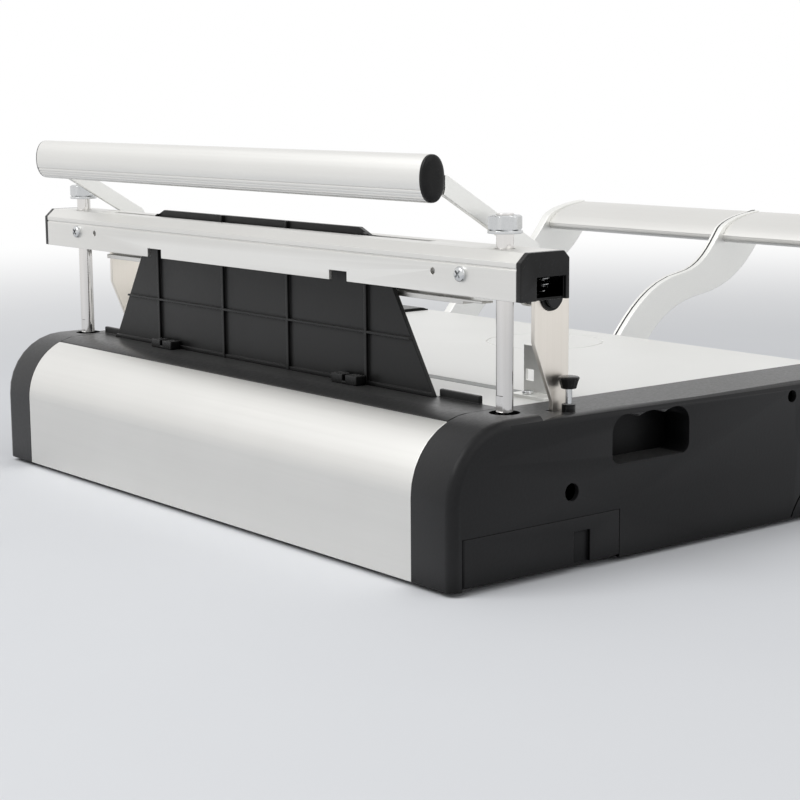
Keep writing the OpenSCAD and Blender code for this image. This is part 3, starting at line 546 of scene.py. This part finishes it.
print("edges that turn more than", round(math.degrees(EDGE_TURN)), "degrees get a round")

# %% [markdown]
# ## The base
# The two ends are deep black mouldings, the rear panel is one curved sheet between them, and the
# strip along the top and the guard are black too. They could be drawn again here, but the solids
# have the seams, holes and scallops already, so they are only dressed. The moulded ends have
# their wide rounds in the solid as well, and get no further round.

# %% Dress the base
for node in ("left_end_shell", "right_end_shell"):
    dress(node, abs_grained, 0)
for node, round_mm in (("side_hatch", 0.4), ("hub_covers", 0.4), ("front_panel", 0.5)):
    dress(node, abs_grained, round_mm)
for node, round_mm in (("top_strip", 0.8), ("guard_plate", 0.35)):
    dress(node, abs_plain, round_mm)
dress("guard_clips", abs_dark, 0.6)
dress("rear_panel", aluminium_drawn, 0.4)
dress("table_plate", steel_painted, 0.25)
dress("bottom_pan", steel_blackened, 0.3)
for node in ("left_fence", "right_fence"):
    dress(node, aluminium_blasted, 0.25)
for node in ("left_side_frame", "right_side_frame", "post_blocks"):
    dress(node, steel_zinc, 0.4)

# %% [markdown]
# ## Columns, straps and the hidden shafts
# The columns keep their solid form, with their edges just broken. The straps are polished sheet
# with softly broken edges, and a black bush sits in each eye. The shafts under the table could
# stay bare, since they hardly show. They are dressed all the same, because they come into view
# when the machine is taken apart.

# %% Dress the columns, straps and shafts
for node in ("left_post", "right_post"):
    dress(node, steel_chromed, 0.3)
for node in ("left_strap", "right_strap"):
    dress(node, steel_polished, 0.4)
dress("strap_bushes", abs_dark, 0.4)
dress("stop_washers", steel_zinc, 0.3)
dress("handle_pins", steel_blackened, 0.5)
for node, round_mm in (
    ("strap_bolts", 0.8),
    ("hatch_pin", 0.2),
    ("lock_pin", 0.3),
    ("pan_screws", 0.5),
    ("fence_screws", 0.6),
):
    dress(node, steel_zinc, round_mm)
for node in ("lever_shaft", "rocker_shaft", "rocker_plates", "lever_cams", "lift_pins"):
    dress(node, steel_zinc, 0.3)
for node in ("lever_bushes", "rocker_bushes"):
    dress(node, bronze, 0.3)
dress("lift_bar", grey_polymer, 0.4)

# %% [markdown]
# ## Beam, handle arms and lever
# These are the pale metal pieces that give the machine its look. The beam and the lever bar are
# drawn sections, the arms are plate. Their outlines come from the solids. Only the rounds differ:
# a plate has wider ones than a drawn section, and the light on them tells how thick it is.

# %% Dress the beam, arms and lever
dress("beam_rail", aluminium_drawn, 0.25)
dress("press_foot", aluminium_drawn, 0.3)
for node in ("left_beam_cap", "right_beam_cap"):
    dress(node, abs_dark, 0.5, 3)
dress("guide_blocks", acetal, 0.4)
for node in (
    "left_handle_arm",
    "right_handle_arm",
    "left_lever_arm",
    "middle_lever_arm",
    "right_lever_arm",
):
    dress(node, aluminium_blasted, 0.5)
dress("lever_bar", aluminium_drawn, 0.4)

# %% [markdown]
# ## Rings of points into a skin
# Some pieces need more than a round on their edges. Turned and drawn ones are easiest to make as a
# row of rings, each with the same number of points, joined by quads and closed at both ends. A
# screw modifier turns a profile too, but only a round one. A tube, a nut, a knob and a wire are
# all such rows of rings, with other outlines.


# %% Skin over rings
def skin(name, groups, finish, *nodes):
    form = bmesh.new()
    for rings in groups:
        rows = [[form.verts.new(p) for p in ring] for ring in rings]
        count = len(rows[0])
        for a, b in zip(rows, rows[1:]):
            for i in range(count):
                j = (i + 1) % count
                form.faces.new((a[i], a[j], b[j], b[i]))
        form.faces.new(list(reversed(rows[0])))
        form.faces.new(rows[-1])
    return settle(as_piece(form, name), finish, *nodes)


print("a skin is closed at both ends")

# %% [markdown]
# ## Where the solids stand
# A node may hold several solids, such as two nuts or four feet. Their places could be copied from
# the drawing as numbers. They are measured from the node's loose parts, so that the detailed
# pieces stay in their place when a size in the model changes.


# %% Boxes of the solids
def middle(low, high):
    return (low + high) / 2


def solids_of(node):
    """Boxes of a node's separate solids, found from its loose parts."""
    form = merged(node)
    left = set(form.verts)
    boxes = []
    while left:
        todo = [min(left, key=lambda v: v.index)]
        part = set(todo)
        while todo:
            for edge in todo.pop().link_edges:
                for vert in edge.verts:
                    if vert not in part:
                        part.add(vert)
                        todo.append(vert)
        left -= part
        points = [v.co for v in part]
        boxes.append(
            (
                Vector(min(p[k] for p in points) for k in range(3)),
                Vector(max(p[k] for p in points) for k in range(3)),
            )
        )
    form.free()
    return sorted(boxes, key=lambda b: (b[0].x, b[0].y))


print("stop nuts:", len(solids_of("stop_nuts")))

# %% [markdown]
# ## Painted dark reflection in the middle arm
# The middle arm of the lever has a groove along its edge, and the groove's rounded edge mirrors
# dark surroundings as a dark line. A dark strip laid in the groove paints that reflection. A dark
# line in the arm's finish could stand for it, but a strip of its own has a clean edge up close. It
# follows the outline of the arm's flat side, from where the outline leaves the hub to where it
# comes back.

# %% Outline of the arm
HUB_CLEAR = 16 * MM
FACES_LEFT = -0.99
arm = merged("middle_lever_arm")
join_flats(arm)
arm.normal_update()
left_faces = [f for f in arm.faces if f.normal.x < FACES_LEFT]
side = max(left_faces, key=lambda f: f.calc_area())
outline = [Vector((0, loop.vert.co.y, loop.vert.co.z)) for loop in side.loops]
arm.free()
axle = middle(*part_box("lever_shaft"))
axle.x = 0
clear = [(p - axle).length > HUB_CLEAR for p in outline]
first = next(i for i in range(len(outline)) if clear[i] and not clear[i - 1])
outline, clear = outline[first:] + outline[:first], clear[first:] + clear[:first]
outline = outline[: clear.index(False)]
print("points along the outline:", len(outline))

# %% [markdown]
# At each point of the outline a small rectangle is set square to the edge, a little below the
# surface, and the rectangles are skinned.

# %% Strip in the groove, a painted reflection
STRIP_TOP, STRIP_LOW = 0.3 * MM, 1.3 * MM
STRIP_LEFT, STRIP_RIGHT = Vector((0.25 * MM, 0, 0)), Vector((1.75 * MM, 0, 0))
strip = []
last = len(outline) - 1
for i, point in enumerate(outline):
    way = (outline[min(i + 1, last)] - outline[max(i - 1, 0)]).normalized()
    out = Vector((0, way.z, -way.y))
    if i == 0:
        flip = 1 if out.dot(point - axle) > 0 else -1
    top, low = point - flip * STRIP_TOP * out, point - flip * STRIP_LOW * out
    strip.append([top + STRIP_LEFT, top + STRIP_RIGHT, low + STRIP_RIGHT, low + STRIP_LEFT])
# The dark strip is a painted reflection of dark surroundings in the groove's edge.
painted_reflection_strip = skin("middle_lever_reflection_strip_piece", [strip], abs_dark, "middle_lever_arm")
print("points along the strip:", len(strip))

# %% [markdown]
# ## The handle tube
# The tube is a drawn oval, a little fuller than an ellipse, with a few fine grooves along its
# lower flanks, which give the fingers some hold. The solid has half-circles with flats between
# them, so the section is drawn again as an ellipse with one power changed, and that keeps its
# curve even. A bump could draw the grooves, but then the mesh would lack them. They stand at
# angles round the oval.

# %% Handle tube
tube_low, tube_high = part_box("handle_tube")
TUBE_MID = middle(tube_low, tube_high)
TUBE_HALF = (tube_high - tube_low) / 2
OVAL_POWER = 2.15  # 2 is an ellipse
OVAL_STEP = 5
GROOVES = (207, 218, 229, 241, 299, 311, 322, 333)
GROOVE_DEEP = 0.45 * MM
GROOVE_HALF = math.degrees(0.4 * MM / TUBE_HALF.y)
GROOVE_ROOM = 1.5 * GROOVE_HALF


def filled(part):
    return math.copysign(abs(part) ** (2 / OVAL_POWER), part)


def oval(x, inset, grooved):
    stops = {float(a): 0.0 for a in range(0, 360, OVAL_STEP)}
    for g in GROOVES if grooved else ():
        stops = {a: d for a, d in stops.items() if d or abs(a - g) > GROOVE_ROOM}
        stops |= {g - GROOVE_HALF: 0.0, float(g): GROOVE_DEEP, g + GROOVE_HALF: 0.0}
    ring = []
    for angle, deep in sorted(stops.items()):
        turn = math.radians(angle)
        y = filled(math.cos(turn)) * (TUBE_HALF.y - inset - deep)
        z = filled(math.sin(turn)) * (TUBE_HALF.z - inset - deep)
        ring.append(Vector((x, TUBE_MID.y + y, TUBE_MID.z + z)))
    return ring


skin(
    "handle_tube_piece",
    [[oval(tube_low.x, 0.0, True), oval(tube_high.x, 0.0, True)]],
    aluminium_drawn,
    "handle_tube",
)
print("tube mm:", [round(2 * side / MM, 1) for side in TUBE_HALF])

# %% [markdown]
# ## Caps of the tube
# Black caps with a crowned face close the tube. A flat plug with a round edge would be quicker,
# but its face would mirror as one flat spot. The crown is a list of steps outwards, each with its
# inset.

# %% Handle caps
CROWN = (
    (0.0, 0.1),
    (1.1, 0.12),
    (1.7, 0.3),
    (2.2, 0.8),
    (2.6, 1.8),
    (2.85, 3.4),
    (3.0, 5.8),
)
caps = []
for low, high in solids_of("handle_caps"):
    out = 1 if high.x > 0 else -1
    foot = low.x if out > 0 else high.x
    caps.append([oval(foot + out * step * MM, inset * MM, False) for step, inset in CROWN])
skin("handle_caps_piece", caps, abs_dark, "handle_caps")
print("caps:", len(caps))

# %% [markdown]
# ## Stop nuts
# A bought nut is turned as well as milled, so its hexagon runs into a cone at both faces. Cutting
# a hexagon with a cone would give that, with long thin faces. Here each ring takes the smaller of
# the hexagon and the cone, and the curved corners come by themselves.


# %% Level rings
def level_ring(centre, height, points, reach_at):
    ring = []
    for i in range(points):
        angle = 2 * math.pi * i / points
        reach = reach_at(angle)
        ring.append(centre + Vector((reach * math.cos(angle), reach * math.sin(angle), height)))
    return ring


def foot_of(low, high):
    centre = middle(low, high)
    return Vector((centre.x, centre.y, low.z))


print("a level ring takes any reach that depends on its angle")

# %% Stop nuts
NUT_POINTS = 72
CONE_SHARE = 0.75
DISH_DEEP = 0.6 * MM
SIXTH = math.pi / 3


def hexagon(angle, flat, first):
    turn = (angle - first + SIXTH / 2) % SIXTH - SIXTH / 2
    return flat / math.cos(SIXTH / 2 - abs(turn))


nuts = []
for low, high in solids_of("stop_nuts"):
    across_x, across_y = (high.x - low.x) / 2, (high.y - low.y) / 2
    flat, corner = min(across_x, across_y), max(across_x, across_y)
    first = math.pi / 2 if across_y > across_x else 0.0
    tall = high.z - low.z
    cone = (corner - flat) * CONE_SHARE
    between = (flat + corner) / 2
    rings = []
    for height, bound in (
        (0.0, flat),
        (cone / 2, between),
        (cone, corner),
        (tall - cone, corner),
        (tall - cone / 2, between),
        (tall, flat * 0.99),
        (tall, flat * 0.7),
        (tall - DISH_DEEP, flat * 0.62),
    ):
        ring = level_ring(
            foot_of(low, high),
            height,
            NUT_POINTS,
            lambda angle: min(hexagon(angle, flat, first), bound),
        )
        rings.append(ring)
    nuts.append(rings)
skin("stop_nuts_piece", nuts, steel_zinc, "stop_nuts")
print("nut across flats mm:", round(2 * flat / MM, 1))

# %% [markdown]
# ## Lock knob and feet
# The knob is a small moulding that widens upwards, with shallow flutes and a domed top. The feet
# are plain rubber pads with a rounded lower edge. Both are turned pieces, so a short list gives
# the share of the radius at each share of the height. The flutes only change the reach of a ring.

# %% Knob and feet
KNOB = (
    (0.62, 0.0),
    (0.70, 0.03),
    (0.74, 0.12),
    (0.84, 0.45),
    (0.96, 0.72),
    (1.0, 0.80),
    (0.99, 0.87),
    (0.92, 0.93),
    (0.70, 0.97),
    (0.40, 0.99),
    (0.12, 1.0),
)
KNOB_POINTS = 108
FLUTES = 18
FLUTE_DEEP = 0.03
FOOT = ((0.86, 0.0), (0.95, 0.04), (1.0, 0.16), (1.0, 1.0))
FOOT_POINTS = 64


def fluted(angle, flutes):
    return 1.0 - FLUTE_DEEP * max(0.0, math.cos(flutes * angle)) ** 2 if flutes else 1.0


def turned(low, high, profile, points, flutes=0):
    """Rings of an upright turned piece in a box, from shares of its radius and height."""
    radius, tall = (high.x - low.x) / 2, high.z - low.z
    rings = []
    for share, height in profile:
        ring = level_ring(
            foot_of(low, high),
            height * tall,
            points,
            lambda angle: share * radius * fluted(angle, flutes),
        )
        rings.append(ring)
    return rings


knob = turned(*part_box("lock_knob"), KNOB, KNOB_POINTS, FLUTES)
skin("lock_knob_piece", [knob], abs_dark, "lock_knob")
feet = [turned(low, high, FOOT, FOOT_POINTS) for low, high in solids_of("rubber_feet")]
skin("rubber_feet_piece", feet, rubber, "rubber_feet")
print("feet:", len(feet))

# %% [markdown]
# ## Springs behind the beam caps
# Each spring is one wire wound round an upright axis. A curve with a round bevel would draw it
# too. Rings are used, because they are there already and close the wire's ends: its centre climbs
# a helix, and a ring of points is set square to it at every step.

# %% Cap springs
WIRE_R = 0.6 * MM
CURLS = 6
STEPS = 32
SIDES = 12
for node in ("left_cap_spring", "right_cap_spring"):
    low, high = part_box(node)
    coil_r = (high.x - low.x) / 2 - WIRE_R
    climb = high.z - low.z - 2 * WIRE_R
    slope = math.atan2(climb / CURLS, 2 * math.pi * coil_r)
    start = foot_of(low, high) + Vector((0, 0, WIRE_R))
    rings = []
    for i in range(CURLS * STEPS + 1):
        angle = 2 * math.pi * i / STEPS
        out = Vector((math.cos(angle), math.sin(angle), 0))
        round_way = Vector((-math.sin(angle), math.cos(angle), 0))
        up = Vector((0, 0, math.cos(slope))) - round_way * math.sin(slope)
        heart = start + Vector((0, 0, climb * i / (CURLS * STEPS))) + out * coil_r
        ring = []
        for k in range(SIDES):
            turn = 2 * math.pi * k / SIDES
            ring.append(heart + WIRE_R * (math.cos(turn) * out + math.sin(turn) * up))
        rings.append(ring)
    skin(node + "_piece", [rings], steel_zinc, node)
print("spring radius mm:", round(coil_r / MM, 2))

# %% [markdown]
# ## Cross-head screws
# The two screws on the rear face of the beam have domed heads with a cross recess. A dark cross in
# the finish would do from afar, but not in the mesh. So the dome is turned about the screw's own
# axis, and a cross of two thin blocks is set into its top.

# %% Screw heads and crosses
HEAD = (
    (1.0, 0.0),
    (1.0, 0.35),
    (0.93, 0.66),
    (0.8, 0.86),
    (0.6, 0.96),
    (0.35, 0.995),
    (0.02, 1.0),
)
HEAD_POINTS = 48
CROSS_LONG = 1.2
CROSS_WIDE = 0.28
CROSS_DEEP = 1.5
face_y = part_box("beam_rail")[1].y
screws = bmesh.new()
cross = bmesh.new()
for low, high in solids_of("beam_screws"):
    radius, tall = (high.x - low.x) / 2, high.y - face_y
    centre = middle(low, high)
    centre.y = face_y
    rows = []
    for share, height in HEAD:
        row = []
        for i in range(HEAD_POINTS):
            turn = 2 * math.pi * i / HEAD_POINTS
            reach = share * radius
            spot = Vector((reach * math.cos(turn), height * tall, reach * math.sin(turn)))
            row.append(screws.verts.new(centre + spot))
        rows.append(row)
    for a, b in zip(rows, rows[1:]):
        for i in range(HEAD_POINTS):
            j = (i + 1) % HEAD_POINTS
            screws.faces.new((a[i], a[j], b[j], b[i]))
    screws.faces.new(rows[0])
    screws.faces.new(rows[-1])
    top = Matrix.Translation(centre + Vector((0, tall, 0)))
    size = Matrix.Diagonal((CROSS_LONG * radius, CROSS_DEEP * tall, CROSS_WIDE * radius, 1))
    for degrees in (45, 135):
        turn = Matrix.Rotation(math.radians(degrees), 4, "Y")
        bmesh.ops.create_cube(cross, size=1, matrix=top @ turn @ size)
bmesh.ops.recalc_face_normals(screws, faces=screws.faces)
print("faces on the heads:", len(screws.faces), "on the crosses:", len(cross.faces))

# %% [markdown]
# The blocks are then cut out of the heads with a boolean. As a modifier it could stay open for
# changes, but its block would have to stay in the scene too, so the result is kept as plain mesh.

# %% Cut the crosses
cross_mesh = bpy.data.meshes.new("cross_recess")
cross.to_mesh(cross_mesh)
cross.free()
cutter = bpy.data.objects.new("cross_recess", cross_mesh)
bpy.context.scene.collection.objects.link(cutter)
head_mesh = bpy.data.meshes.new("screw_heads")
screws.to_mesh(head_mesh)
screws.free()
heads = bpy.data.objects.new("screw_heads", head_mesh)
bpy.context.scene.collection.objects.link(heads)
trim = heads.modifiers.new("recess", "BOOLEAN")
trim.operation = "DIFFERENCE"
trim.solver = "EXACT"
trim.use_self = True
trim.object = cutter
bpy.context.view_layer.update()
cut_form = bmesh.new()
cut_form.from_object(heads, bpy.context.evaluated_depsgraph_get())
for spare in (heads, cutter):
    bpy.data.objects.remove(spare)
settle(as_piece(cut_form, "beam_screws_piece"), steel_zinc, "beam_screws")

# %% [markdown]
# ## Floor
# The machine stands on a plain pale sheet of paper. A bent backdrop would hide the horizon, but it
# would stand in the way of views from the other side. A wide flat disc that fades into a white
# world with its distance hides it from all sides.

# %% Floor disc
FLOOR_R = 9.0
floor_form = bmesh.new()
bmesh.ops.create_circle(floor_form, cap_ends=True, segments=96, radius=FLOOR_R)
floor_mesh = bpy.data.meshes.new("floor")
floor_form.to_mesh(floor_mesh)
floor_form.free()
floor = bpy.data.objects.new("floor", floor_mesh)
bpy.context.scene.collection.objects.link(floor)
print("floor radius m:", FLOOR_R)

# %% [markdown]
# The paper has fibres in clouds of about 17 mm, which are barely darker than the rest. Only what
# the camera and the mirrors see of it fades into white: for all other light it stays paper, so
# that it lights the machine as paper would, and keeps its shadow.

# %% Paper finish
FIBRES_PER_M = 60.0
floor_finish = bpy.data.materials.new("paper_backdrop_pale")
floor_finish.use_nodes = True
floor_tree = floor_finish.node_tree
paper = floor_tree.nodes["Principled BSDF"]
fibre = add(floor_tree, "ShaderNodeTexNoise", {"Scale": FIBRES_PER_M, "Detail": 3.0})
tint = add(
    floor_tree,
    "ShaderNodeMix",
    {"A": linear("#e2e4e8"), "B": linear("#e8eaed")},
    {"Factor": fibre.outputs["Fac"]},
    data_type="RGBA",
)
floor_tree.links.new(tint.outputs["Result"], paper.inputs["Base Color"])
paper.inputs["Roughness"].default_value = 0.9
paper.inputs["Specular IOR Level"].default_value = 0.1
print("fibre clouds mm:", round(1000 / FIBRES_PER_M))

# %% Fade into white
FADE_FROM = 0.55
FADE_TO = 2.2
WHITE = (1.0, 1.0, 1.0, 1.0)
away = add(
    floor_tree,
    "ShaderNodeVectorMath",
    links={0: add(floor_tree, "ShaderNodeTexCoord").outputs["Object"]},
    operation="LENGTH",
)
fade = add(
    floor_tree,
    "ShaderNodeMapRange",
    {"From Min": FADE_FROM, "From Max": FADE_TO},
    {"Value": away.outputs["Value"]},
    interpolation_type="SMOOTHSTEP",
)
ray = add(floor_tree, "ShaderNodeLightPath").outputs
looked_at = add(
    floor_tree,
    "ShaderNodeMath",
    links={0: ray["Is Camera Ray"], 1: ray["Is Glossy Ray"]},
    operation="MAXIMUM",
)
looked_at = add(
    floor_tree,
    "ShaderNodeMath",
    links={0: looked_at.outputs[0], 1: ray["Is Transmission Ray"]},
    operation="MAXIMUM",
)
share = add(
    floor_tree,
    "ShaderNodeMath",
    links={0: fade.outputs["Result"], 1: looked_at.outputs[0]},
    operation="MULTIPLY",
)
glow = add(floor_tree, "ShaderNodeEmission", {"Color": WHITE, "Strength": 1.0})
blend = add(
    floor_tree,
    "ShaderNodeMixShader",
    links={0: share.outputs[0], 1: paper.outputs["BSDF"], 2: glow.outputs["Emission"]},
)
floor_out = floor_tree.nodes["Material Output"]
floor_tree.links.new(blend.outputs["Shader"], floor_out.inputs["Surface"])
floor_mesh.materials.append(floor_finish)
print("white from m:", FADE_TO)

# %% [markdown]
# ## World
# The world gives an even, low light from all around. For the camera, and for what metal mirrors
# or glass would let through, it is plain white. A brighter world would give that white as well,
# but it would wash out the machine, so the strength depends on the kind of ray.

# %% World
AMBIENT = 0.45
world = bpy.data.worlds.new("studio")
bpy.context.scene.world = world
world.use_nodes = True
sky = world.node_tree
sky.nodes.clear()
path = add(sky, "ShaderNodeLightPath").outputs
seen = add(
    sky,
    "ShaderNodeMath",
    links={0: path["Is Camera Ray"], 1: path["Is Glossy Ray"]},
    operation="ADD",
)
seen = add(
    sky,
    "ShaderNodeMath",
    links={0: seen.outputs[0], 1: path["Is Transmission Ray"]},
    operation="ADD",
    use_clamp=True,
)
strength = add(
    sky,
    "ShaderNodeMapRange",
    {"To Min": AMBIENT, "To Max": 1.0},
    {"Value": seen.outputs[0]},
)
white = add(
    sky,
    "ShaderNodeBackground",
    {"Color": WHITE},
    {"Strength": strength.outputs["Result"]},
)
add(sky, "ShaderNodeOutputWorld", links={"Surface": white.outputs["Background"]})
print("light from the world:", AMBIENT)

# %% [markdown]
# ## Lamps
# A large soft lamp above the rear is the main light, a second one on the left fills the shadows,
# and a weak third hangs over the table. Small lamps would give hard shadows and sharp spots, and a
# studio uses wide boxes for the same reason. The third one isn't mirrored, because its picture
# would lie on the table.


# %% Lamps
def lamp(name, place, aim, size, watts, mirrored=True):
    data = bpy.data.lights.new(name, "AREA")
    data.shape = "SQUARE"
    data.size = size
    data.energy = watts
    light = bpy.data.objects.new(name, data)
    light.location = place
    light.rotation_euler = (aim - Vector(place)).to_track_quat("-Z", "Y").to_euler()
    light.visible_glossy = mirrored
    bpy.context.scene.collection.objects.link(light)


BODY = Vector((0, 0, 0.1))
lamp("key_softbox", (0.3, 1.9, 1.9), BODY, size=1.6, watts=31)
lamp("fill_softbox", (-2.0, -0.2, 1.4), BODY, size=1.6, watts=8)
lamp("top_softbox", (0.2, -0.4, 2.4), Vector(), size=2.0, watts=3, mirrored=False)

# %% [markdown]
# ## Camera
# The camera stands at the rear left corner, a little above the machine. Its place and its long
# lens were worked out from the straight edges of the base.

# %% Camera
CAMERA_AT = Vector((-1.0143, 0.9101, 0.2755))
LOOKS_ALONG = Vector((0.771, -0.6154, -0.1643))
ROLL = -0.007
FOCAL_PX = 1865.85
FRAME_PX = 800
eye = bpy.data.cameras.new("camera")
eye.sensor_fit = "HORIZONTAL"
eye.sensor_width = 36.0
eye.lens = FOCAL_PX / FRAME_PX * eye.sensor_width
eye.clip_end = 100.0
camera = bpy.data.objects.new("camera", eye)
upright = LOOKS_ALONG.to_track_quat("-Z", "Y").to_matrix()
camera.rotation_euler = (upright @ Matrix.Rotation(ROLL, 3, "Z")).to_euler()
camera.location = CAMERA_AT
bpy.context.scene.collection.objects.link(camera)
bpy.context.scene.camera = camera
bpy.context.scene.view_settings.view_transform = "Standard"
print("lens mm:", round(eye.lens, 2))

# %% [markdown]
# ## The end
# The view layer is brought up to date once more. The dressed machine has to stay inside the
# solids' box.

# %% Finish
bpy.context.view_layer.update()
